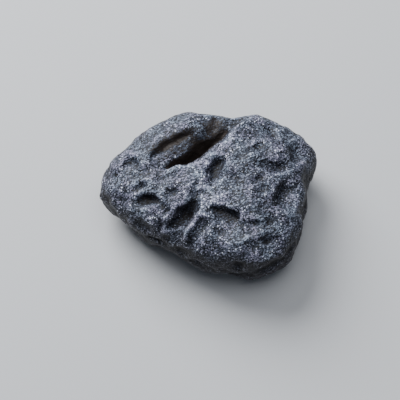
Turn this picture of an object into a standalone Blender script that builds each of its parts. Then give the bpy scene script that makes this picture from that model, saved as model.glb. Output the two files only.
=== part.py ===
"""A splash-form tektite: one palm-sized lump of black natural glass, lying on its flatter side.

The lump starts as a sphere, is drawn out to a rounded block with its own outline, and is then
sculpted as the real glass was etched: scoops with one steep wall are sunk into every side.
Metres, +Z up. The origin is under the middle of the stone, on the surface that it lies on.
Run it with: blender --background --python part.py
"""

import math
from collections import namedtuple

import bmesh
import bpy
import numpy as np
from mathutils import Vector, noise
from mathutils.bvhtree import BVHTree

MM = 0.001

# Driving dimensions, in millimetres.
LENGTH = 46.0  # along X
BREADTH = 36.6  # along Y
THICKNESS = 17.0  # along Z
GIRTH_HEIGHT = 7.0  # where the outline is widest
REST_CUT = 0.6  # how much of the belly is worn flat where the stone lies

# How square the sections are: 2 is an ellipse, and more is boxier.
CROWN_POWER = 3.3
BELLY_POWER = 2.9

SPHERE_SUBDIVISIONS = 7
REMESH_VOXEL = 0.32
SMOOTHING_FACTOR = 0.5
SMOOTHING_PASSES = 3
TRIANGLES = 9400

# The widest outline from above, anticlockwise from the right-hand notch, in millimetres.
OUTLINE = (
    (20.6, -0.6),
    (21.6, 3.6),
    (22.9, 6.8),
    (22.4, 10.3),
    (19.3, 13.4),
    (15.0, 16.0),
    (10.0, 18.0),
    (4.8, 17.3),
    (-2.0, 18.5),
    (-8.3, 17.4),
    (-14.5, 14.1),
    (-19.4, 9.3),
    (-22.6, 5.0),
    (-22.9, -0.4),
    (-20.0, -3.6),
    (-15.3, -7.8),
    (-8.0, -11.5),
    (-2.0, -15.3),
    (4.2, -16.3),
    (10.3, -17.2),
    (15.6, -14.8),
    (18.7, -10.1),
    (19.9, -4.7),
)

# A swell raises (or, if its height is negative, lowers) a broad area of the top or the underside.
Swell = namedtuple("Swell", "side x y radius height")
SWELLS = (
    Swell("top", 9.0, 5.0, 8.0, 0.7),
    Swell("top", 6.0, -11.0, 8.0, 0.4),
    Swell("top", -15.0, -2.0, 7.0, -0.9),
    Swell("top", -6.0, 14.0, 6.0, 0.6),
    Swell("top", 22.5, 6.0, 4.5, -2.2),
)

# The etched relief, coarse to fine: wave is its length across the grain, and swing its height.
# The grain is the direction in which the glass flowed, and the relief is drawn out along it.
Ripple = namedtuple("Ripple", "wave swing")
RIPPLES = (Ripple(5.0, 0.7), Ripple(2.4, 0.45), Ripple(1.3, 0.25))
WANDER = (Ripple(3.6, 0.9), Ripple(1.5, 0.6))  # how far the scoops' edges wander sideways
RIPPLE_SEED = 4
GRAIN_HEADING = 28  # degrees from +X towards +Y
GRAIN_STRETCH = 1.8

# A scoop is a hollow sunk into the surface. On the top and the underside, u and v are X and Y.
# On the rim, u is the angle round the stone from +X, in degrees, and v is the height. heading
# turns its length: from +X seen from above or, on the rim, up from level. wall is the share of
# its width that the steep left-hand wall takes (0.5 is even), and rim is that wall's slope: 0.5
# is upright at the edge, and 2 is soft. undercut is how far the floor runs in under that wall,
# and bend how far its middle is bowed to the left. Lengths are in millimetres.
Scoop = namedtuple(
    "Scoop",
    "name side u v length width depth heading wall rim undercut bend",
    defaults=(0.5, 1.0, 0.0, 0.0),
)

SCOOPS = (
    # The eye-shaped hollow, with a groove under its upper lip and the gash along its lower lip.
    Scoop("eye", "top", -4.0, 8.6, 20.4, 7.6, 2.2, 207, wall=0.2, rim=0.8),
    Scoop("eye_groove", "top", -7.4, 8.4, 12.8, 2.9, 1.7, 29, wall=0.35, rim=0.6, bend=0.6),
    Scoop("gash", "top", -3.3, 7.8, 17.8, 2.5, 5.8, 216, wall=0.45, rim=0.5, undercut=0.6, bend=0.1),
    Scoop("gash_end", "top", 1.7, 11.1, 5.6, 2.8, 1.8, 226, wall=0.4, rim=0.6),
    Scoop("eye_dimple", "top", 0.9, 13.0, 3.2, 2.6, 0.9, 30, wall=0.35),
    # The row of pits across the lower left.
    Scoop("left_pit", "top", -13.2, -4.1, 7.0, 2.8, 2.0, -10, wall=0.35, rim=0.6, bend=0.4, undercut=0.3),
    Scoop("deep_pit", "top", -5.2, -8.3, 10.2, 5.0, 3.2, 52, wall=0.3, rim=0.6, bend=0.4),
    Scoop("hook_pit", "top", -9.5, -6.1, 2.6, 1.8, 1.2, 60, wall=0.35),
    Scoop("spur_pit", "top", -10.4, -8.9, 4.2, 2.2, 1.8, 65, wall=0.3, rim=0.7),
    Scoop("ridge_scoop", "top", -1.8, -10.8, 9.6, 4.2, 1.6, 48, wall=0.3, rim=0.8),
    Scoop("arch_a", "top", 2.7, -9.1, 10.0, 4.6, 2.2, -25, wall=0.25, rim=0.6, bend=0.6, undercut=0.3),
    Scoop("arch_b", "top", 8.3, -9.7, 6.5, 3.2, 1.3, 5, wall=0.35, rim=0.8),
    Scoop("arch_floor", "top", 4.1, -10.8, 11.0, 5.0, 1.1, -5),
    Scoop("middle_pit", "top", 2.0, 2.0, 8.0, 3.8, 2.3, 68, wall=0.3, rim=0.6, bend=0.45),
    Scoop("chain_pit_a", "top", -2.2, -0.8, 3.4, 2.2, 1.2, 20, wall=0.3),
    Scoop("chain_pit_b", "top", -3.6, -3.2, 3.0, 2.4, 1.1, 60, wall=0.3),
    Scoop("left_dimple", "top", -16.8, 4.7, 4.4, 4.0, 1.3, 0, wall=0.35),
    Scoop("left_small", "top", -15.2, -0.6, 3.4, 1.8, 0.9, 20, wall=0.3),
    Scoop("left_shallow", "top", -7.9, -2.2, 4.0, 3.2, 0.9, 30, wall=0.4),
    # The right-hand half.
    Scoop("right_pit", "top", 15.8, -3.1, 7.6, 5.4, 1.7, 50, wall=0.35, rim=0.9),
    Scoop("right_valley", "top", 13.6, 3.4, 10.0, 3.4, 1.3, 8, wall=0.35, rim=0.8),
    Scoop("shoulder_dimple", "top", 13.4, 11.8, 4.8, 2.4, 1.2, 100),
    Scoop("lobe_dimple", "top", 18.7, 6.5, 4.4, 2.6, 1.3, 60, wall=0.35),
    Scoop("streak_a", "top", 8.4, 6.7, 8.4, 2.2, 1.0, 27, wall=0.35),
    Scoop("streak_b", "top", 8.8, 10.2, 5.4, 3.0, 0.9, 30, wall=0.35),
    Scoop("streak_c", "top", 10.3, 0.0, 4.2, 2.0, 0.9, 22, wall=0.35),
    Scoop("middle_dimple", "top", 5.2, 0.6, 2.8, 1.8, 0.9, 20, wall=0.35),
    Scoop("lower_arc", "top", 13.6, -8.4, 6.0, 3.0, 0.5, 15, wall=0.35),
    Scoop("lower_right_dimple", "top", 11.9, -12.4, 5.6, 2.6, 0.8, 6, wall=0.3),
    # The rim, anticlockwise from the right.
    Scoop("lobe_wall", "rim", 18, 6.0, 8.0, 5.0, 1.2, 15, wall=0.4),
    Scoop("north_east_a", "rim", 42, 5.0, 9.0, 4.6, 1.5, -20, wall=0.35),
    Scoop("north_east_b", "rim", 62, 8.0, 5.0, 3.0, 1.1, 30, wall=0.35),
    Scoop("north_a", "rim", 85, 5.5, 8.5, 5.0, 2.0, -35, wall=0.3, rim=0.7),
    Scoop("north_b", "rim", 106, 4.5, 8.5, 4.2, 1.7, 12, wall=0.35, rim=0.8),
    Scoop("north_c", "rim", 126, 7.5, 6.0, 3.6, 1.2, 50, wall=0.35),
    Scoop("north_west_a", "rim", 148, 4.5, 9.0, 5.0, 1.7, -15, wall=0.3, rim=0.8),
    Scoop("west_a", "rim", 172, 7.0, 5.0, 3.2, 0.9, 30, wall=0.35),
    Scoop("west_b", "rim", 196, 4.5, 8.0, 3.6, 1.2, -10, wall=0.35),
    Scoop("south_west_a", "rim", 222, 9.0, 6.4, 3.0, 1.0, 10, wall=0.4),
    Scoop("south_west_b", "rim", 240, 3.6, 7.0, 3.6, 1.2, 20, wall=0.35),
    Scoop("south_a", "rim", 262, 8.0, 6.6, 3.6, 1.1, -12, wall=0.4),
    Scoop("south_b", "rim", 284, 4.0, 7.4, 3.8, 1.2, 10, wall=0.35),
    Scoop("south_groove", "rim", 290, 11.0, 4.0, 1.8, 1.0, 70),
    Scoop("south_east_a", "rim", 310, 9.0, 8.6, 4.6, 1.3, 8, wall=0.4),
    Scoop("east_wall", "rim", 342, 9.5, 9.5, 5.0, 1.2, 0, wall=0.4),
    # The underside.
    Scoop("under_long", "under", -6.0, 4.5, 15.0, 4.6, 2.1, 20, wall=0.3, rim=0.7),
    Scoop("under_left", "under", -14.5, -1.5, 7.0, 4.4, 1.6, 70, wall=0.35, rim=0.8),
    Scoop("under_middle", "under", 1.5, -4.5, 7.5, 4.8, 1.9, -40, wall=0.3, rim=0.7),
    Scoop("under_right", "under", 12.5, 1.5, 9.0, 5.4, 1.8, 35, wall=0.3, rim=0.8),
    Scoop("under_corner", "under", 11.0, -10.5, 8.0, 4.6, 1.6, 10, wall=0.35),
    Scoop("under_north", "under", 4.5, 11.0, 8.5, 4.0, 1.5, -12, wall=0.35),
    Scoop("under_west", "under", -13.5, 7.5, 5.4, 3.2, 1.2, 120, wall=0.35),
    Scoop("under_south", "under", -5.5, -8.0, 7.6, 3.4, 1.5, 28, wall=0.3),
)

# Smaller scoops, strewn over every side by a seeded draw: how many there are on each.
STREWN = (("top", 46), ("rim", 60), ("under", 40))
STREWN_SEED = 23
STREWN_LENGTHS = (2.4, 5.2)
STREWN_WIDTHS = (0.45, 0.75)  # as a share of the length
STREWN_DEPTHS = (0.08, 0.17)  # as a share of the length
STREWN_TURN = 30  # how far they are turned from the grain, in degrees


def outline_radius(angles):
    """The outline's distance from the middle at these angles: a smooth closed curve."""
    points = np.array(OUTLINE)
    at = np.arctan2(points[:, 1], points[:, 0])
    order = np.argsort(at)
    at, radius = at[order], np.hypot(points[:, 0], points[:, 1])[order]
    at = np.concatenate([at[-2:] - 2 * np.pi, at, at[:2] + 2 * np.pi])
    radius = np.concatenate([radius[-2:], radius, radius[:2]])
    slope = np.gradient(radius, at)
    i = np.clip(np.searchsorted(at, angles) - 1, 1, len(at) - 3)
    span = at[i + 1] - at[i]
    t = (angles - at[i]) / span
    return (
        (1 + 2 * t) * (1 - t) ** 2 * radius[i]
        + t * (1 - t) ** 2 * span * slope[i]
        + t**2 * (3 - 2 * t) * radius[i + 1]
        + t**2 * (t - 1) * span * slope[i + 1]
    )


def drawn_out(sphere):
    """Points of a unit sphere, drawn out to the stone's outline, crown and belly, in millimetres."""
    level = np.hypot(sphere[:, 0], sphere[:, 1])
    rise = np.abs(sphere[:, 2])
    top = sphere[:, 2] > 0
    power = np.where(top, 2 / CROWN_POWER, 2 / BELLY_POWER)
    radius = outline_radius(np.arctan2(sphere[:, 1], sphere[:, 0])) * level**power
    unit = sphere[:, :2] / np.maximum(level, 1e-9)[:, None]
    height = np.where(top, THICKNESS - GIRTH_HEIGHT, -GIRTH_HEIGHT - REST_CUT) * rise**power
    points = np.column_stack([unit * radius[:, None], GIRTH_HEIGHT + height])
    for swell in SWELLS:
        away = np.hypot(points[:, 0] - swell.x, points[:, 1] - swell.y) / swell.radius
        here = top if swell.side == "top" else ~top
        points[:, 2] += here * rise**0.5 * swell.height * np.exp(-(away**2))
    return points


def along_grain(points):
    """The points turned so that the grain runs along X, and shortened along it."""
    turn = math.radians(GRAIN_HEADING)
    turned = points.copy()
    turned[:, 0] = points[:, 0] * math.cos(turn) + points[:, 1] * math.sin(turn)
    turned[:, 1] = points[:, 1] * math.cos(turn) - points[:, 0] * math.sin(turn)
    turned[:, 0] /= GRAIN_STRETCH
    return turned


def rippled(points, ripples):
    """Smooth random vectors at the points: the sum of the ripples."""
    total = np.zeros_like(points)
    for ripple in ripples:
        field = [noise.noise_vector(Vector(point) / ripple.wave) for point in points]
        total += ripple.swing * np.array(field)
    return total


def strewn_scoops():
    """The smaller scoops of every side."""
    draw = np.random.default_rng(STREWN_SEED)
    scoops = []
    for side, count in STREWN:
        for _ in range(count):
            around = draw.uniform(-np.pi, np.pi)
            reach = 0.85 * math.sqrt(draw.uniform()) * float(outline_radius(around))
            u, v = reach * math.cos(around), reach * math.sin(around)
            if side == "rim":
                u, v = math.degrees(around), draw.uniform(0.15, 0.9) * THICKNESS
            length = draw.uniform(*STREWN_LENGTHS)
            width = length * draw.uniform(*STREWN_WIDTHS)
            depth = length * draw.uniform(*STREWN_DEPTHS)
            heading = GRAIN_HEADING + draw.uniform(-STREWN_TURN, STREWN_TURN)
            wall = draw.uniform(0.3, 0.5)
            scoops.append(Scoop("strewn", side, u, v, length, width, depth, heading, wall))
    return scoops


def surface_at(tree, scoop):
    """The place on the bare lump where a scoop is sunk, and the surface's outward normal there."""
    if scoop.side == "rim":
        around = math.radians(scoop.u)
        aim = Vector((-math.cos(around), -math.sin(around), 0))
        start = Vector((0, 0, scoop.v)) - aim * 3 * THICKNESS
    else:
        aim = Vector((0, 0, -1 if scoop.side == "top" else 1))
        start = Vector((scoop.u, scoop.v, GIRTH_HEIGHT)) - aim * 2 * THICKNESS
    place, normal, _, _ = tree.ray_cast(start, aim)
    return place, normal


def scoop_axes(scoop, normal):
    """The scoop's own axes as unit vectors: along its length, and across it to the left."""
    turn = math.radians(scoop.heading)
    if scoop.side == "rim":
        level = Vector((0, 0, 1)).cross(normal).normalized()
        along = level * math.cos(turn) + normal.cross(level) * math.sin(turn)
    else:
        along = Vector((math.cos(turn), math.sin(turn), 0))
    along = (along - normal * along.dot(normal)).normalized()
    return along, normal.cross(along)


def scoop_depth(points, scoop, tree):
    """How deep the scoop sinks each point, and how far it carries it sideways, as a vector."""
    place, normal = surface_at(tree, scoop)
    along, across = scoop_axes(scoop, normal)
    local = points - np.array(place)
    u = local @ np.array(along) / (scoop.length / 2)
    ends = np.clip(1 - u**2, 0, 1)
    half_width = scoop.width / 2 * np.sqrt(ends) + 1e-6
    v = (local @ np.array(across) - scoop.bend * ends) / half_width
    near = (np.abs(local @ np.array(normal)) < THICKNESS / 3) & (np.abs(v) < 1) & (ends > 0)
    deepest = 1 - 2 * scoop.wall
    steep = v > deepest
    inside = np.where(steep, (1 - v) / (1 - deepest), (1 + v) / (1 + deepest))
    inside = np.clip(inside, 0, 1)
    section = (1 - (1 - inside) ** 2) ** np.where(steep, scoop.rim, 1.2)
    share = near * ends**0.7 * section
    return scoop.depth * share, np.outer(scoop.undercut * share**2, np.array(across))


def sculpted(points, normals, tree):
    """The lump's points with the scoops sunk and the etched relief added."""
    wandering = points + rippled(points, WANDER)
    depth = np.zeros(len(points))
    carried = np.zeros_like(points)
    for scoop in SCOOPS + tuple(strewn_scoops()):
        sunk, aside = scoop_depth(wandering, scoop, tree)
        deeper = sunk > depth
        depth[deeper] = sunk[deeper]
        carried[deeper] = aside[deeper]
    relief = (rippled(along_grain(points), RIPPLES) * normals).sum(axis=1)
    return points + normals * (relief - depth)[:, None] + carried


def fitted(points):
    """The points in metres, with their box brought to the stone's size and set in its place."""
    low, high = points.min(axis=0), points.max(axis=0)
    size = np.array([LENGTH, BREADTH, THICKNESS + REST_CUT])
    middle = np.array([0, 0, THICKNESS / 2 - REST_CUT / 2])
    return ((points - (low + high) / 2) / (high - low) * size + middle) * MM


def stone_mesh():
    """The sculpted lump as a mesh in metres, before its edges are worn."""
    noise.seed_set(RIPPLE_SEED)
    form = bmesh.new()
    bmesh.ops.create_icosphere(form, subdivisions=SPHERE_SUBDIVISIONS, radius=1)
    points = drawn_out(np.array([vertex.co for vertex in form.verts]))
    for vertex, point in zip(form.verts, points):
        vertex.co = point
    form.normal_update()
    normals = np.array([vertex.normal for vertex in form.verts])
    points = sculpted(points, normals, BVHTree.FromBMesh(form))
    for vertex, point in zip(form.verts, fitted(points)):
        vertex.co = point
    mesh = bpy.data.meshes.new("tektite")
    form.to_mesh(mesh)
    form.free()
    return mesh


def floor_cutter():
    """A hidden block below the floor, which wears the stone flat where it lies."""
    form = bmesh.new()
    bmesh.ops.create_cube(form, size=1)
    bmesh.ops.scale(form, vec=Vector((2 * LENGTH, 2 * BREADTH, THICKNESS)) * MM, verts=form.verts)
    bmesh.ops.translate(form, vec=Vector((0, 0, -THICKNESS / 2)) * MM, verts=form.verts)
    mesh = bpy.data.meshes.new("floor_cutter")
    form.to_mesh(mesh)
    form.free()
    cutter = bpy.data.objects.new("floor_cutter", mesh)
    cutter.hide_render = True
    cutter.display_type = "WIRE"
    cutters = bpy.data.collections.new("cutters")
    bpy.context.scene.collection.children.link(cutters)
    cutters.objects.link(cutter)
    return cutter


def triangle_count(stone):
    """How many triangles the stone has with the modifiers that it has so far."""
    graph = bpy.context.evaluated_depsgraph_get()
    mesh = stone.evaluated_get(graph).to_mesh()
    mesh.calc_loop_triangles()
    return len(mesh.loop_triangles)


def glass_material():
    """Black natural glass with a frosted, etched skin."""
    material = bpy.data.materials.new("etched_black_glass")
    material.use_nodes = True
    shader = material.node_tree.nodes["Principled BSDF"]
    shader.inputs["Base Color"].default_value = (0.045, 0.047, 0.055, 1)
    shader.inputs["Roughness"].default_value = 0.42
    shader.inputs["Metallic"].default_value = 0.0
    return material


def main():
    for old in list(bpy.data.objects):
        bpy.data.objects.remove(old)
    parts = bpy.data.collections.new("tektite")
    bpy.context.scene.collection.children.link(parts)
    stone = bpy.data.objects.new("tektite", stone_mesh())
    stone.data.materials.append(glass_material())
    parts.objects.link(stone)
    remesh = stone.modifiers.new("even_skin", "REMESH")
    remesh.mode = "VOXEL"
    remesh.voxel_size = REMESH_VOXEL * MM
    smooth = stone.modifiers.new("worn_edges", "SMOOTH")
    smooth.factor = SMOOTHING_FACTOR
    smooth.iterations = SMOOTHING_PASSES
    fewer = stone.modifiers.new("fewer_faces", "DECIMATE")
    fewer.ratio = TRIANGLES / triangle_count(stone)
    worn = stone.modifiers.new("worn_flat", "BOOLEAN")
    worn.object = floor_cutter()
    worn.operation = "DIFFERENCE"
    worn.solver = "EXACT"
    bpy.context.view_layer.update()


main()
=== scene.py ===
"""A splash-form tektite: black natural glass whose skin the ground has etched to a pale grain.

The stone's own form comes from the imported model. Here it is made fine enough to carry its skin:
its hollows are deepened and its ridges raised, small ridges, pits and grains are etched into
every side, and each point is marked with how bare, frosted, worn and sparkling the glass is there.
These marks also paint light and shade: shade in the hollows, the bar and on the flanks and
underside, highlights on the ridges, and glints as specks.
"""

import math
from collections import namedtuple

import bmesh
import bpy
import numpy as np
from bpy.props import FloatProperty, FloatVectorProperty, PointerProperty
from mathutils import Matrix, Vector, noise


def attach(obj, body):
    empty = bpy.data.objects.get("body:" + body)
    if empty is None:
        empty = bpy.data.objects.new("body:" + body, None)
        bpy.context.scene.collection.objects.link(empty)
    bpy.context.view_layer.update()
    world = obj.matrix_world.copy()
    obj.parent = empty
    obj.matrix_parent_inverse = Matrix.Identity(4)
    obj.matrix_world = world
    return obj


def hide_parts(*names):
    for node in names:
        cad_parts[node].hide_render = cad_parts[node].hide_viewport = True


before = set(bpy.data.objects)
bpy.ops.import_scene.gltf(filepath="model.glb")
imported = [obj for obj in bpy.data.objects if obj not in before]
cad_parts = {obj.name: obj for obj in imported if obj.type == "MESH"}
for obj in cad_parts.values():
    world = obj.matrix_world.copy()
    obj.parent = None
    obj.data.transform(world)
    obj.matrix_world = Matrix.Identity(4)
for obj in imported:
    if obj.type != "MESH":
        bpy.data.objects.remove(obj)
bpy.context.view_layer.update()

bl_info = {
    "name": "Tektite",
    "version": (1, 0, 0),
    "blender": (4, 5, 0),
    "location": "View3D > Sidebar > Tektite",
    "description": "An etched lump of black natural glass, with its stage",
    "category": "Object",
}

MM = 0.001

# How near two corners of the form's loose faces are when they are joined, as a share of the fine
# mesh's spacing, and how many times the faces are halved as the form is rounded.
JOINING_SHARE = 0.05
ROUNDING_LEVELS = 2

# Passes of evening out. The first two wear the voxel mesh's steps off its points and its normals,
# and the third gives the way that a whole side faces. The others flatten the skin's grains, the
# stone's ridges and its hollows, so that each can be told by how far it stands out or sinks in.
STEP_PASSES = 4
NORMAL_PASSES = 3
SIDE_PASSES = 30
GRAIN_PASSES = 6
RIDGE_PASSES = 25
HOLLOW_PASSES = 120

# The height or depth, in millimetres, from which a grain, a ridge and a hollow count in full.
FULL_GRAIN = 0.06
FULL_RIDGE = 0.15
FULL_HOLLOW = 1.0
MOST_RAISED = 0.3  # raised ground counts as the opposite of a hollow, up to this share

# The most depth and height, in millimetres, that the form's crispness is a share of.
SHARPENED_DEPTH = 1.2
SHARPENED_HEIGHT = 0.5

# The etched relief: how far its ridges are drawn out along the grain, and the size and height of
# the small ridges and pits as a share of the large ones'. A shift keeps the two sizes apart.
GRAIN_STRETCH = 1.7
SMALL_RIDGES = 0.5
SMALL_PITS = 0.6
SHIFT = 10 * MM
RIDGE_START = Vector((7.3, 1.9, 4.4))  # where in the noise the ridges' pattern starts
SCOOP_FLOOR = 0.45  # how far the noise swings, up or down, where a scoop is at its floor
PIT_RADIUS = 0.35  # of a middling pit, as a share of the pits' spacing
PIT_VARIETY = 0.3  # how much more or less than that a pit's radius may be
PIT_DRAW = 9.7  # sets neighbouring pits apart in the noise that their radii come from
FINE_GRIT = (2.1, 0.6)  # how many times finer than the coarse grit, and its share of the height

# How much a side faces up, as the height of its normal: up to the first it is worn all over, and
# where it faces up by the second more it isn't worn at all. The flanks and underside that this
# darkens are partly worn and partly painted shade, as they face away from the light.
WORN_AND_SHADED_FACING = 0.2
WORN_AND_SHADED_SPAN = 0.6

# The frost that every point starts with, what a grain adds, what it adds besides on a bright crest,
# what a ridge and a bright crest add, and what a hollow and a worn side take away. What the ridges
# add is partly a painted highlight, and what hollows and worn sides take away is partly painted
# shade.
FrostAndShading = namedtuple("FrostAndShading", "start grain bright_grain ridge bright hollow worn")
FROST_AND_SHADING = FrostAndShading(
    start=0.48, grain=0.1, bright_grain=0.3, ridge=0.12, bright=0.2, hollow=0.4, worn=0.2
)

# What a ridge and a bright crest add to the sparkle, and a hollow and a worn side take away. The
# sparkle sizes the specks, which are partly painted glints.
Sparkle = namedtuple("Sparkle", "ridge bright hollow worn")
SPARKLE = Sparkle(ridge=0.2, bright=0.3, hollow=0.2, worn=0.18)

TOP_HEIGHT = 8  # the top is what is higher than this, in millimetres

# The hollows on the top where the glass is bare or darker: bare glass in the gash and the eye's
# end, bare glass and partly painted shade in the slot, and only painted shade in the bar and in the
# last four, which stay thinly frosted. For each: the place, length, width and heading of its mouth,
# in millimetres and degrees, how far below its mouth the bare glass starts, how gradual its edge is
# as a share of the mouth, and how bare it is, up to 1. ALL_OVER starts it above the mouth, so that
# the whole hollow is bare.
Hollow = namedtuple("Hollow", "name x y length width heading below edge bare")
ALL_OVER = -3.0
BARE_AND_SHADED_HOLLOWS = (
    Hollow("gash", -2.6, 7.2, 17.8, 3.5, 36, 0.2, 0.2, 0.88),
    Hollow("slot", -7.6, 8.8, 12.4, 2.8, 28, ALL_OVER, 0.5, 0.8),
    # The bar and the four pits after it are darkened as painted shade, not bare.
    Hollow("bar", -5.0, 8.0, 12.0, 3.4, 33, ALL_OVER, 0.6, 0.42),
    Hollow("eye_end", 1.2, 12.4, 7.0, 5.0, 45, ALL_OVER, 0.7, 0.6),
    Hollow("middle_pit", 2.4, 3.0, 6.4, 3.8, 68, 0.2, 0.8, 0.24),
    Hollow("deep_pit", -4.9, -7.9, 9.0, 4.2, 52, 0.3, 0.8, 0.22),
    Hollow("left_pit", -13.2, -4.0, 6.4, 2.6, -10, 0.2, 0.8, 0.24),
    Hollow("arch", 3.0, -8.2, 8.8, 2.6, -25, 0.2, 0.8, 0.26),
)
# The lip is the ring between these shares of the mouth's size, and its slope gives the mouth's.
LIP = (1.05, 1.4)
OUTMOST_BARE = 1.1  # where the bare glass's edge ends, as a share of the mouth's size
SINKING = 0.5  # how much deeper it gets until the glass is at its barest, in millimetres

# The most thickly frosted crests on the top: the middle of each and its reach, in millimetres.
BRIGHT_CRESTS = ((-2.8, 1.6, 3.0), (0.8, -3.4, 3.5), (4.6, 8.0, 2.2))

# The skin's patterns, in millimetres, with the lengths of two as shares of their widths.
GRAIN_WIDTH = 0.18
GRAIN_LENGTH = 1.5
STREAK_WIDTH = 0.8
STREAK_LENGTH = 3
PATCH_WIDTH = 4.0
SPECK_SPACING = 0.46
BUMP_WIDTH = 0.4
BUMP_DEPTH = 0.2
NOISE_DETAIL = 2.0  # how many rounds of finer waves lie over a noise's coarse ones
STREAK_ROUGHNESS = 0.6  # how strong each round is in the streaks, as a share of the one before

# How much the grain, the streaks and the marked frosting count in the amount of frost, and the
# amounts between which thin frost covers the glass, and then thick frost covers the thin. The
# marked frosting carries painted shade and highlight as well as frost.
GRAIN_WEIGHT = 0.95
STREAK_WEIGHT = 0.7
FROST_AND_SHADING_WEIGHT = 0.75
THIN_FROST = (0.9, 1.38)
THICK_FROST = (1.38, 1.76)
LILAC_PATCHES = (0.42, 0.58)  # the patches' values, from all blue to all lilac

# The specks. Each has a draw from 0 to 1, and its radius goes from the first to the second as the
# draw goes from SPECK_DRAW to 1. Radii are shares of the spacing, and one below 0 is no speck.
SPECK_DRAW = 0.48
SPECK_RADII = (-0.1, 0.31)
SPECK_GROWTH = 0.4  # how much of the sparkle is added to the radius
SPECK_EDGE = 0.06  # half the width of a speck's soft edge
GATHERED_SPECKS = (0.42, 0.6)  # patches and sparkle together, from the faintest specks to full
FAINTEST_SPECK = 0.2
OFF_BARE_AND_SHADED = (0.1, 0.3)  # how bare the glass is, from full specks to none

ROUGHNESS = (0.45, 0.62)  # from bare glass to frosted
GLASS_IOR = 1.5
FROSTED_SPECULAR = 0.2

# The numbers of a colour Mix node's sockets, because their names stand for other kinds' too.
SHARE = 0
UNDER = 6
OVER = 7
MIXED = 2

# The view: the side of the square frame in pixels, how much one pixel shows at the stone, and how
# far to the right of the stone's middle and above it the camera aims, in pixels.
FRAME_PIXELS = 400
PIXEL = 0.21 * MM
AIM_RIGHT = -8.5
AIM_UP = -6.4
STONE_MIDDLE = Vector((0, 0, 8 * MM))
SENSOR_WIDTH = 36  # in millimetres, as the lens is
NEAREST_SEEN = 0.01  # in metres

# The soft boxes: the place and width of each, in metres, and its power as a share of the key's.
SoftBox = namedtuple("SoftBox", "name place size share")
SOFT_BOXES = (
    SoftBox("key", Vector((-0.23, 0.32, 0.33)), 0.4, 1.0),
    SoftBox("top", Vector((0.05, 0.05, 0.6)), 0.5, 0.3),
)
SKY_COLOUR = "#e8f0ff"
SKY_STRENGTH = 0.15
FLOOR_REACH = 1.5  # from the middle of the floor to its sides, in metres
PAPER_ROUGHNESS = 0.9


def linear(hex_colour):
    """An sRGB hex colour as linear red, green and blue."""
    shares = [int(hex_colour[i : i + 2], 16) / 255 for i in (1, 3, 5)]
    return tuple(s / 12.92 if s <= 0.04045 else ((s + 0.055) / 1.055) ** 2.4 for s in shares)


class TektiteSkin(bpy.types.PropertyGroup):
    """Sizes of the etched relief."""

    spacing: FloatProperty(
        name="Mesh spacing",
        description="Distance between the fine mesh's points",
        default=0.245 * MM,
        precision=5,
        unit="LENGTH",
    )
    crispness: FloatProperty(
        name="Crispness",
        description="How much the hollows are deepened and the ridges raised",
        default=0.22,
        subtype="FACTOR",
    )
    grain_heading: FloatProperty(
        name="Grain heading",
        description="Direction in which the glass flowed, from +X towards +Y",
        default=math.radians(28),
        subtype="ANGLE",
    )
    ridge_size: FloatProperty(
        name="Ridge size",
        description="Distance between the small etched ridges, across the grain",
        default=1.5 * MM,
        precision=5,
        unit="LENGTH",
    )
    ridge_height: FloatProperty(
        name="Ridge height",
        description="Height of the small etched ridges",
        default=0.065 * MM,
        precision=5,
        unit="LENGTH",
    )
    pit_size: FloatProperty(
        name="Pit size",
        description="Distance between the small pits",
        default=0.85 * MM,
        precision=5,
        unit="LENGTH",
    )
    pit_depth: FloatProperty(
        name="Pit depth",
        description="Depth of the small pits",
        default=0.05 * MM,
        precision=5,
        unit="LENGTH",
    )
    grit_size: FloatProperty(
        name="Grit size",
        description="Width of the finest grains of the skin",
        default=0.5 * MM,
        precision=5,
        unit="LENGTH",
    )
    grit_height: FloatProperty(
        name="Grit height",
        description="Height of the finest grains of the skin",
        default=0.045 * MM,
        precision=5,
        unit="LENGTH",
    )


class TektiteColours(bpy.types.PropertyGroup):
    """Colours of the glass and of its frosted skin; the worn colours, the bare glass and the specks
    also paint shade and glints.
    """

    glass: FloatVectorProperty(
        name="Glass",
        description="The glass between the frosted grains",
        default=linear("#121215"),
        subtype="COLOR",
    )
    # This brown with less frost also darkens the bar and four pits, where it stands for painted
    # shade.
    bare: FloatVectorProperty(
        name="Bare and shaded glass",
        description="The smooth glass inside the bare hollows",
        default=linear("#2f2926"),
        subtype="COLOR",
    )
    frost: FloatVectorProperty(
        name="Frost",
        description="Thinly frosted grains",
        default=linear("#444b5a"),
        subtype="COLOR",
    )
    thick_frost: FloatVectorProperty(
        name="Thick frost",
        description="Thickly frosted grains",
        default=linear("#99a5ba"),
        subtype="COLOR",
    )
    lilac_frost: FloatVectorProperty(
        name="Lilac frost",
        description="Thickly frosted grains where the skin leans to lilac",
        default=linear("#9e9cb6"),
        subtype="COLOR",
    )
    # The worn colours are duller and darker: partly worn frost, partly painted shade on the flanks
    # and underside.
    worn_and_shaded_frost: FloatVectorProperty(
        name="Worn and shaded frost",
        description="Thinly frosted grains on the worn flanks and underside",
        default=linear("#3b393d"),
        subtype="COLOR",
    )
    worn_and_shaded_thick_frost: FloatVectorProperty(
        name="Worn and shaded thick frost",
        description="Thickly frosted grains on the worn flanks and underside",
        default=linear("#828490"),
        subtype="COLOR",
    )
    # The specks are partly pale grains and partly painted glints.
    speck_glint: FloatVectorProperty(
        name="Speck glint",
        description="The brightest grains, which catch the light",
        default=linear("#e4ebff"),
        subtype="COLOR",
    )


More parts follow.
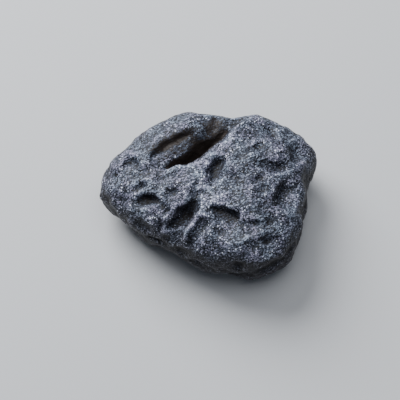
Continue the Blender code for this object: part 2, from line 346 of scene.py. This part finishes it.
class TektiteStage(bpy.types.PropertyGroup):
    """The floor, the light and the view."""

    floor: FloatVectorProperty(
        name="Floor",
        description="Colour of the floor",
        default=linear("#c9ccd0"),
        subtype="COLOR",
    )
    key_power: FloatProperty(
        name="Key light",
        description="Power of the main light",
        default=5.2,
        unit="POWER",
    )
    elevation: FloatProperty(
        name="View elevation",
        description="Height of the camera's view above the horizon",
        default=math.radians(65),
        subtype="ANGLE",
    )
    distance: FloatProperty(
        name="View distance",
        description="Distance from the camera to the stone",
        default=0.34,
        unit="LENGTH",
    )


def add_node(tree, kind, settings=None, inputs=None):
    """Adds a node with its settings; an input is a value, or another node's output to link."""
    node = tree.nodes.new(kind)
    for name, value in (settings or {}).items():
        setattr(node, name, value)
    for name, value in (inputs or {}).items():
        if isinstance(value, bpy.types.NodeSocket):
            tree.links.new(value, node.inputs[name])
        else:
            node.inputs[name].default_value = value
    return node


def new_material(name):
    """A material with only a Principled shader and its output."""
    material = bpy.data.materials.new(name)
    material.use_nodes = True
    return material, material.node_tree, material.node_tree.nodes["Principled BSDF"]


def mesh_points(mesh):
    """The mesh's points as rows of numbers."""
    points = np.empty(len(mesh.vertices) * 3, np.float32)
    mesh.vertices.foreach_get("co", points)
    return points.reshape(-1, 3).astype(float)


def move_points(mesh, points):
    """Puts the mesh's points where these are."""
    mesh.vertices.foreach_set("co", points.astype(np.float32).ravel())
    mesh.update()


def mesh_normals(mesh):
    """The mesh's normals at its points."""
    normals = np.empty(len(mesh.vertices) * 3, np.float32)
    mesh.vertex_normals.foreach_get("vector", normals)
    return normals.reshape(-1, 3).astype(float)


def mesh_edges(mesh):
    """The numbers of the two points that each of the mesh's edges joins."""
    edges = np.empty(len(mesh.edges) * 2, np.int32)
    mesh.edges.foreach_get("vertices", edges)
    return edges.reshape(-1, 2)


def smoothed(values, edges, passes):
    """The values at the points, each evened out with its neighbours' over and over."""
    first, second = edges[:, 0], edges[:, 1]
    count = np.bincount(edges.ravel(), minlength=len(values))
    columns = values.reshape(len(values), -1)
    for _ in range(passes):
        total = np.column_stack(
            [
                np.bincount(first, columns[:, i][second], len(values))
                + np.bincount(second, columns[:, i][first], len(values))
                for i in range(columns.shape[1])
            ]
        )
        columns = (columns + total / count[:, None]) / 2
    return columns.reshape(values.shape)


def standing_out(points, normals, edges, passes):
    """How far each point stands out from the same surface evened out, in metres."""
    return ((points - smoothed(points, edges, passes)) * normals).sum(axis=1)


def fine_form(node, spacing):
    """The node's form as an even, fine mesh of four-sided faces."""
    draft = bpy.data.objects.new("draft", node.data.copy())
    bpy.context.scene.collection.objects.link(draft)
    form = bmesh.new()
    form.from_mesh(draft.data)
    bmesh.ops.remove_doubles(form, verts=form.verts, dist=spacing * JOINING_SHARE)
    form.to_mesh(draft.data)
    form.free()
    rounded = draft.modifiers.new("rounded", "SUBSURF")
    rounded.levels = ROUNDING_LEVELS
    rounded.render_levels = ROUNDING_LEVELS
    even = draft.modifiers.new("even", "REMESH")
    even.mode = "VOXEL"
    even.voxel_size = spacing
    graph = bpy.context.evaluated_depsgraph_get()
    mesh = bpy.data.meshes.new_from_object(draft.evaluated_get(graph))
    bpy.data.objects.remove(draft)
    return mesh


def along_grain(points, heading):
    """The points turned so that the grain runs along X, and shortened along it."""
    turned = points.copy()
    turned[:, 0] = points[:, 0] * math.cos(heading) + points[:, 1] * math.sin(heading)
    turned[:, 1] = points[:, 1] * math.cos(heading) - points[:, 0] * math.sin(heading)
    turned[:, 0] /= GRAIN_STRETCH
    return turned


def ridges(points, size):
    """Sharp-crested ridges between rounded scoops, from 0 in the scoops to 1 on the crests."""
    wave = [abs(noise.noise(Vector(p) / size + RIDGE_START)) for p in points]
    return 1 - np.clip(np.array(wave) / SCOOP_FLOOR, 0, 1)


def pits(points, size):
    """Round-bottomed pits of mixed sizes, from 0 between them to 1 at their middles."""
    depth = np.empty(len(points))
    for i, p in enumerate(points):
        distances, centres = noise.voronoi(Vector(p) / size)
        radius = PIT_RADIUS + PIT_VARIETY * noise.cell(centres[0] * PIT_DRAW)
        depth[i] = max(0.0, 1 - (distances[0] / radius) ** 2)
    return depth


def grit(points, size):
    """Uneven grains, about -1 to 1: coarse ones, and lower ones of about half their size."""
    finer, height = FINE_GRIT
    grains = [Vector(p) / size for p in points]
    return np.array([noise.noise(g) + height * noise.noise(g * finer) for g in grains])


def etching(points, skin):
    """How far the etched relief raises the skin at each point, in metres."""
    grain = along_grain(points, skin.grain_heading)
    relief = skin.ridge_height * (ridges(grain, skin.ridge_size) - 0.5)
    small_ridges = ridges(grain + SHIFT, skin.ridge_size * SMALL_RIDGES)
    relief += SMALL_RIDGES * skin.ridge_height * (small_ridges - 0.5)
    relief -= skin.pit_depth * pits(points, skin.pit_size)
    relief -= SMALL_PITS * skin.pit_depth * pits(points + 2 * SHIFT, skin.pit_size * SMALL_PITS)
    relief += skin.grit_height * grit(points, skin.grit_size)
    return relief


def bare_and_shaded_glass(points):
    """How bare the glass is at each point, which in the bar and four pits stands for painted shade:
    most inside these hollows, below their mouths.

    A hollow's mouth is a level plane or a leaning one, laid on the lip round it.
    """
    across = points / MM
    above = across[:, 2] > TOP_HEIGHT
    plan = np.column_stack([across[:, :2], np.ones(len(points))])
    bare = np.zeros(len(points))
    for hollow in BARE_AND_SHADED_HOLLOWS:
        turn = math.radians(hollow.heading)
        east, north = across[:, 0] - hollow.x, across[:, 1] - hollow.y
        u = (east * math.cos(turn) + north * math.sin(turn)) / (hollow.length / 2)
        v = (north * math.cos(turn) - east * math.sin(turn)) / (hollow.width / 2)
        away = np.hypot(u, v)
        lip = above & (away > LIP[0]) & (away < LIP[1])
        slopes = np.linalg.lstsq(plan[lip], across[lip, 2], rcond=None)[0]
        mouth = plan @ slopes
        sunk = np.clip((mouth - across[:, 2] - hollow.below) / SINKING, 0, 1)
        inside = above * np.clip((OUTMOST_BARE - away) / hollow.edge, 0, 1)
        bare = np.maximum(bare, hollow.bare * inside * sunk)
    return bare


def bright_crests(points):
    """How near each point is to the middle of a thickly frosted crest, from 0 to 1."""
    across = points / MM
    near = np.zeros(len(points))
    for x, y, reach in BRIGHT_CRESTS:
        away = np.hypot(across[:, 0] - x, across[:, 1] - y)
        near = np.maximum(near, np.exp(-((away / reach) ** 2)))
    return near * (across[:, 2] > TOP_HEIGHT)


def skin_marks(points, carved, rise, normals, edges):
    """How bare, frosted, worn and sparkling the glass is at each point, with the painted shade,
    highlight and glints that these marks carry.
    """
    grain = np.clip(standing_out(carved, normals, edges, GRAIN_PASSES) / (FULL_GRAIN * MM), -1, 1)
    # Ridges and lips get more frost and bigger specks: partly frost, partly a painted highlight.
    ridge = np.clip(standing_out(points, normals, edges, RIDGE_PASSES) / (FULL_RIDGE * MM), 0, 1)
    # Hollows lose frost and specks, and raised ground gains some: partly thinner frost, partly
    # painted shade.
    hollow = np.clip(-rise / (FULL_HOLLOW * MM), -MOST_RAISED, 1)
    # Flanks and underside, which face down or sideways, are darkened: partly wear, partly painted
    # shade.
    facing = smoothed(normals, edges, SIDE_PASSES)[:, 2]
    worn = 1 - np.clip((facing - WORN_AND_SHADED_FACING) / WORN_AND_SHADED_SPAN, 0, 1)
    # Bare glass in the gash, the slot and the eye's end; in the bar and four pits the mark is
    # painted shade.
    bare = bare_and_shaded_glass(points)
    bright = bright_crests(points)
    # This frost mark is partly real frost and partly painted shade and highlight.
    frost_and_shading = FROST_AND_SHADING.start + (FROST_AND_SHADING.grain + FROST_AND_SHADING.bright_grain * bright) * grain
    frost_and_shading += FROST_AND_SHADING.ridge * ridge + FROST_AND_SHADING.bright * bright
    frost_and_shading -= FROST_AND_SHADING.hollow * hollow + FROST_AND_SHADING.worn * worn + bare
    # The sparkle sizes the specks, partly painted glints: more on ridges and bright crests, fewer
    # in hollows and on worn sides, where painted shade falls.
    sparkle = SPARKLE.ridge * ridge + SPARKLE.bright * bright
    sparkle -= SPARKLE.worn * worn + SPARKLE.hollow * hollow
    return {"bare": bare, "frost_and_shading": frost_and_shading, "worn": worn, "sparkle": sparkle}


def etched_mesh(node, skin):
    """The node's form, with its hollows and ridges brought out and its skin etched and marked."""
    mesh = fine_form(node, skin.spacing)
    edges = mesh_edges(mesh)
    points = smoothed(mesh_points(mesh), edges, STEP_PASSES)
    move_points(mesh, points)
    normals = smoothed(mesh_normals(mesh), edges, NORMAL_PASSES)
    normals /= np.linalg.norm(normals, axis=1)[:, None]
    rise = standing_out(points, normals, edges, HOLLOW_PASSES)
    sharpened = skin.crispness * np.clip(rise, -SHARPENED_DEPTH * MM, SHARPENED_HEIGHT * MM)
    carved = points + normals * (sharpened + etching(points, skin))[:, None]
    # The worn flat that the stone lies on stays flat: nothing is raised through the floor.
    carved[:, 2] = np.maximum(carved[:, 2], 0)
    move_points(mesh, carved)
    for name, values in skin_marks(points, carved, rise, normals, edges).items():
        mark = mesh.attributes.new(name, "FLOAT", "POINT")
        mark.data.foreach_set("value", values.astype(np.float32))
    for face in mesh.polygons:
        face.use_smooth = True
    return mesh


def frost_amount(tree, along, flow, frost_and_shading):
    """How much frost there is: the grain, the streaks and the marked frosting together, with the
    painted shade and highlight that the marking carries.
    """
    # The etched skin's grains are about 0.1 mm wide, too fine to see from a step away, and are
    # drawn at 0.18 mm. Each is frosted more or less than the next: that gives the salt and pepper.
    grains = add_node(
        tree,
        "ShaderNodeTexVoronoi",
        inputs={"Vector": along, "Scale": 1 / (GRAIN_WIDTH * MM)},
    )
    grain = add_node(tree, "ShaderNodeSeparateColor", inputs={"Color": grains.outputs["Color"]})
    # Streaks of thinner and thicker frost, about 0.8 mm wide and three times as long, show how the
    # glass flowed and keep the skin from looking even.
    streaks = add_node(
        tree,
        "ShaderNodeTexNoise",
        inputs={
            "Vector": flow,
            "Scale": 1 / (STREAK_WIDTH * MM),
            "Detail": NOISE_DETAIL,
            "Roughness": STREAK_ROUGHNESS,
        },
    )
    amount = add_node(
        tree,
        "ShaderNodeMath",
        {"operation": "MULTIPLY"},
        {0: grain.outputs["Red"], 1: GRAIN_WEIGHT},
    )
    for value, weight in ((streaks.outputs["Fac"], STREAK_WEIGHT), (frost_and_shading, FROST_AND_SHADING_WEIGHT)):
        amount = add_node(
            tree,
            "ShaderNodeMath",
            {"operation": "MULTIPLY_ADD"},
            {0: value, 1: weight, 2: amount.outputs[0]},
        )
    return amount.outputs[0]


def frosted_colour(tree, colours, marks, patches, thin_share, thick_share):
    """The colour of the glass, with thin frost laid over it and thick frost over that."""
    # The thick frost leans to lilac in some places and to blue in others, a few millimetres apart.
    lilac = add_node(
        tree,
        "ShaderNodeMapRange",
        inputs={"Value": patches, "From Min": LILAC_PATCHES[0], "From Max": LILAC_PATCHES[1]},
    )
    glass = add_node(
        tree,
        "ShaderNodeMix",
        {"data_type": "RGBA"},
        {SHARE: marks["bare"], UNDER: (*colours.glass, 1), OVER: (*colours.bare, 1)},
    )
    # On the worn flanks and underside duller, darker frost is laid, partly as painted shade.
    thin = add_node(
        tree,
        "ShaderNodeMix",
        {"data_type": "RGBA"},
        {SHARE: marks["worn"], UNDER: (*colours.frost, 1), OVER: (*colours.worn_and_shaded_frost, 1)},
    )
    fresh = add_node(
        tree,
        "ShaderNodeMix",
        {"data_type": "RGBA"},
        {
            SHARE: lilac.outputs["Result"],
            UNDER: (*colours.thick_frost, 1),
            OVER: (*colours.lilac_frost, 1),
        },
    )
    thick = add_node(
        tree,
        "ShaderNodeMix",
        {"data_type": "RGBA"},
        {
            SHARE: marks["worn"],
            UNDER: fresh.outputs[MIXED],
            OVER: (*colours.worn_and_shaded_thick_frost, 1),
        },
    )
    thinly_frosted = add_node(
        tree,
        "ShaderNodeMix",
        {"data_type": "RGBA"},
        {SHARE: thin_share, UNDER: glass.outputs[MIXED], OVER: thin.outputs[MIXED]},
    )
    frosted = add_node(
        tree,
        "ShaderNodeMix",
        {"data_type": "RGBA"},
        {SHARE: thick_share, UNDER: thinly_frosted.outputs[MIXED], OVER: thick.outputs[MIXED]},
    )
    return frosted.outputs[MIXED]


def glint_speck_cover(tree, place, marks, patches):
    """Where the specks, partly painted glints, are: 1 on them and 0 between them."""
    # Single grains that catch the light are crisp dots up to 0.3 mm across: partly pale grains,
    # partly painted glints. They stand out in patches a few millimetres apart, are wider on the
    # ridges, and grow together into a white crust on the bright crests. Hollows and worn sides have
    # fewer, as painted shade, and bare glass has none.
    dots = add_node(
        tree,
        "ShaderNodeTexVoronoi",
        inputs={"Vector": place, "Scale": 1 / (SPECK_SPACING * MM)},
    )
    draw = add_node(tree, "ShaderNodeSeparateColor", inputs={"Color": dots.outputs["Color"]})
    radius = add_node(
        tree,
        "ShaderNodeMapRange",
        inputs={
            "Value": draw.outputs["Red"],
            "From Min": SPECK_DRAW,
            "To Min": SPECK_RADII[0],
            "To Max": SPECK_RADII[1],
        },
    )
    grown = add_node(
        tree,
        "ShaderNodeMath",
        {"operation": "MULTIPLY_ADD"},
        {0: marks["sparkle"], 1: SPECK_GROWTH, 2: radius.outputs["Result"]},
    )
    within = add_node(
        tree,
        "ShaderNodeMath",
        {"operation": "SUBTRACT"},
        {0: grown.outputs[0], 1: dots.outputs["Distance"]},
    )
    crisp = add_node(
        tree,
        "ShaderNodeMapRange",
        inputs={"Value": within.outputs[0], "From Min": -SPECK_EDGE, "From Max": SPECK_EDGE},
    )
    gathered = add_node(
        tree,
        "ShaderNodeMath",
        {"operation": "ADD"},
        {0: patches, 1: marks["sparkle"]},
    )
    share = add_node(
        tree,
        "ShaderNodeMapRange",
        inputs={
            "Value": gathered.outputs[0],
            "From Min": GATHERED_SPECKS[0],
            "From Max": GATHERED_SPECKS[1],
            "To Min": FAINTEST_SPECK,
        },
    )
    off_bare = add_node(
        tree,
        "ShaderNodeMapRange",
        inputs={
            "Value": marks["bare"],
            "From Min": OFF_BARE_AND_SHADED[0],
            "From Max": OFF_BARE_AND_SHADED[1],
            "To Min": 1.0,
            "To Max": 0.0,
        },
    )
    cover = crisp
    for limit in (share, off_bare):
        cover = add_node(
            tree,
            "ShaderNodeMath",
            {"operation": "MULTIPLY"},
            {0: cover.outputs[0], 1: limit.outputs["Result"]},
        )
    return cover.outputs[0]


def etched_glass(colours, skin):
    """Natural glass etched by the ground: near-black where bare, pale and matt where frosted."""
    material, tree, shader = new_material("etched_black_glass")
    place = add_node(tree, "ShaderNodeTexCoord").outputs["Object"]
    along, flow = (
        add_node(
            tree,
            "ShaderNodeMapping",
            {"vector_type": "TEXTURE"},
            {"Vector": place, "Rotation": (0, 0, skin.grain_heading), "Scale": (length, 1, 1)},
        ).outputs["Vector"]
        for length in (GRAIN_LENGTH, STREAK_LENGTH)
    )
    marks = {
        name: add_node(tree, "ShaderNodeAttribute", {"attribute_name": name}).outputs["Fac"]
        for name in ("bare", "frost_and_shading", "worn", "sparkle")
    }
    patches = add_node(
        tree,
        "ShaderNodeTexNoise",
        inputs={"Vector": place, "Scale": 1 / (PATCH_WIDTH * MM), "Detail": NOISE_DETAIL},
    ).outputs["Fac"]
    amount = frost_amount(tree, along, flow, marks["frost_and_shading"])
    thin_share, thick_share = (
        add_node(
            tree,
            "ShaderNodeMapRange",
            inputs={"Value": amount, "From Min": low, "From Max": high},
        ).outputs["Result"]
        for low, high in (THIN_FROST, THICK_FROST)
    )
    colour = add_node(
        tree,
        "ShaderNodeMix",
        {"data_type": "RGBA"},
        {
            SHARE: glint_speck_cover(tree, place, marks, patches),
            UNDER: frosted_colour(tree, colours, marks, patches, thin_share, thick_share),
            OVER: (*colours.speck_glint, 1),
        },
    )
    tree.links.new(colour.outputs[MIXED], shader.inputs["Base Color"])

    # Frosted glass scatters the light, and the bare glass keeps a dull shine.
    roughness = add_node(
        tree,
        "ShaderNodeMapRange",
        inputs={"Value": thin_share, "To Min": ROUGHNESS[0], "To Max": ROUGHNESS[1]},
    )
    tree.links.new(roughness.outputs["Result"], shader.inputs["Roughness"])
    # Natural glass bends light by about 1.5, and the frost breaks up most of its reflection.
    shader.inputs["IOR"].default_value = GLASS_IOR
    shader.inputs["Specular IOR Level"].default_value = FROSTED_SPECULAR
    # Uneven grains of 0.4 mm, finer than the mesh carries, roughen the light on the skin.
    uneven = add_node(
        tree,
        "ShaderNodeTexNoise",
        inputs={"Vector": along, "Scale": 1 / (BUMP_WIDTH * MM), "Detail": NOISE_DETAIL},
    )
    bump = add_node(
        tree,
        "ShaderNodeBump",
        inputs={"Distance": BUMP_DEPTH * MM, "Height": uneven.outputs["Fac"]},
    )
    tree.links.new(bump.outputs["Normal"], shader.inputs["Normal"])
    return material


class TEKTITE_OT_stone(bpy.types.Operator):
    """Etch the stone's skin over its packed form"""

    bl_idname = "tektite.stone"
    bl_label = "Etched stone"

    def execute(self, context):
        scene = context.scene
        mesh = etched_mesh(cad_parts["tektite"], scene.tektite_skin)
        mesh.materials.clear()
        mesh.materials.append(etched_glass(scene.tektite_colours, scene.tektite_skin))
        stone = bpy.data.objects.new("etched_stone", mesh)
        scene.collection.objects.link(stone)
        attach(stone, "root")
        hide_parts("tektite")
        return {"FINISHED"}


def matt_paper(colour):
    """Uncoated paper, as it is rolled: one even colour, matt, with no shine to draw the eye."""
    material, _, shader = new_material("matt_paper")
    shader.inputs["Base Color"].default_value = (*colour, 1)
    shader.inputs["Roughness"].default_value = PAPER_ROUGHNESS
    return material


def floor_mesh():
    """One flat square, wide enough to fill the view."""
    form = bmesh.new()
    bmesh.ops.create_grid(form, x_segments=1, y_segments=1, size=FLOOR_REACH)
    mesh = bpy.data.meshes.new("floor")
    form.to_mesh(mesh)
    form.free()
    return mesh


def aimed(name, data, place, target):
    """An object at the place, turned to look at the target."""
    thing = bpy.data.objects.new(name, data)
    bpy.context.scene.collection.objects.link(thing)
    thing.location = place
    thing.rotation_mode = "QUATERNION"
    thing.rotation_quaternion = (target - place).to_track_quat("-Z", "Y")
    return thing


def soft_light(box, power):
    """A round soft box, turned to the stone."""
    light = bpy.data.lights.new(box.name, "AREA")
    light.shape = "DISK"
    light.size = box.size
    light.energy = power * box.share
    return aimed(box.name, light, box.place, STONE_MIDDLE)


def studio_sky():
    """A dim, slightly blue light from all round."""
    world = bpy.data.worlds.new("studio")
    world.use_nodes = True
    background = world.node_tree.nodes["Background"]
    background.inputs["Color"].default_value = (*linear(SKY_COLOUR), 1)
    background.inputs["Strength"].default_value = SKY_STRENGTH
    return world


def view_camera(elevation, distance):
    """A camera that looks down at the stone from the front, and aims a little off its middle."""
    back = Vector((0, -math.cos(elevation), math.sin(elevation)))
    up = back.cross(Vector((1, 0, 0)))
    target = STONE_MIDDLE + Vector((AIM_RIGHT * PIXEL, 0, 0)) + up * (AIM_UP * PIXEL)
    camera = bpy.data.cameras.new("camera")
    camera.sensor_width = SENSOR_WIDTH
    camera.lens = SENSOR_WIDTH * distance / (FRAME_PIXELS * PIXEL)
    camera.clip_start = NEAREST_SEEN
    return aimed("camera", camera, target + back * distance, target)


class TEKTITE_OT_stage(bpy.types.Operator):
    """Lay the floor, hang the lights and place the camera"""

    bl_idname = "tektite.stage"
    bl_label = "Floor, lights and camera"

    def execute(self, context):
        stage = context.scene.tektite_stage
        floor = bpy.data.objects.new("floor", floor_mesh())
        floor.data.materials.append(matt_paper(stage.floor))
        context.scene.collection.objects.link(floor)
        for box in SOFT_BOXES:
            soft_light(box, stage.key_power)
        context.scene.world = studio_sky()
        context.scene.camera = view_camera(stage.elevation, stage.distance)
        return {"FINISHED"}


class TEKTITE_PT_panel(bpy.types.Panel):
    """Lists the stone's sizes, its colours and its stage"""

    bl_idname = "TEKTITE_PT_panel"
    bl_label = "Tektite"
    bl_space_type = "VIEW_3D"
    bl_region_type = "UI"
    bl_category = "Tektite"

    def draw(self, context):
        for group in ("tektite_skin", "tektite_colours", "tektite_stage"):
            settings = getattr(context.scene, group)
            box = self.layout.box()
            for name in settings.__annotations__:
                box.prop(settings, name)
        self.layout.operator(TEKTITE_OT_stone.bl_idname)
        self.layout.operator(TEKTITE_OT_stage.bl_idname)


CLASSES = (
    TektiteSkin,
    TektiteColours,
    TektiteStage,
    TEKTITE_OT_stone,
    TEKTITE_OT_stage,
    TEKTITE_PT_panel,
)


def register():
    for each in CLASSES:
        bpy.utils.register_class(each)
    bpy.types.Scene.tektite_skin = PointerProperty(type=TektiteSkin)
    bpy.types.Scene.tektite_colours = PointerProperty(type=TektiteColours)
    bpy.types.Scene.tektite_stage = PointerProperty(type=TektiteStage)


def unregister():
    del bpy.types.Scene.tektite_skin
    del bpy.types.Scene.tektite_colours
    del bpy.types.Scene.tektite_stage
    for each in reversed(CLASSES):
        bpy.utils.unregister_class(each)


def main():
    register()
    bpy.ops.tektite.stone()
    bpy.ops.tektite.stage()


if __name__ == "__main__":
    main()
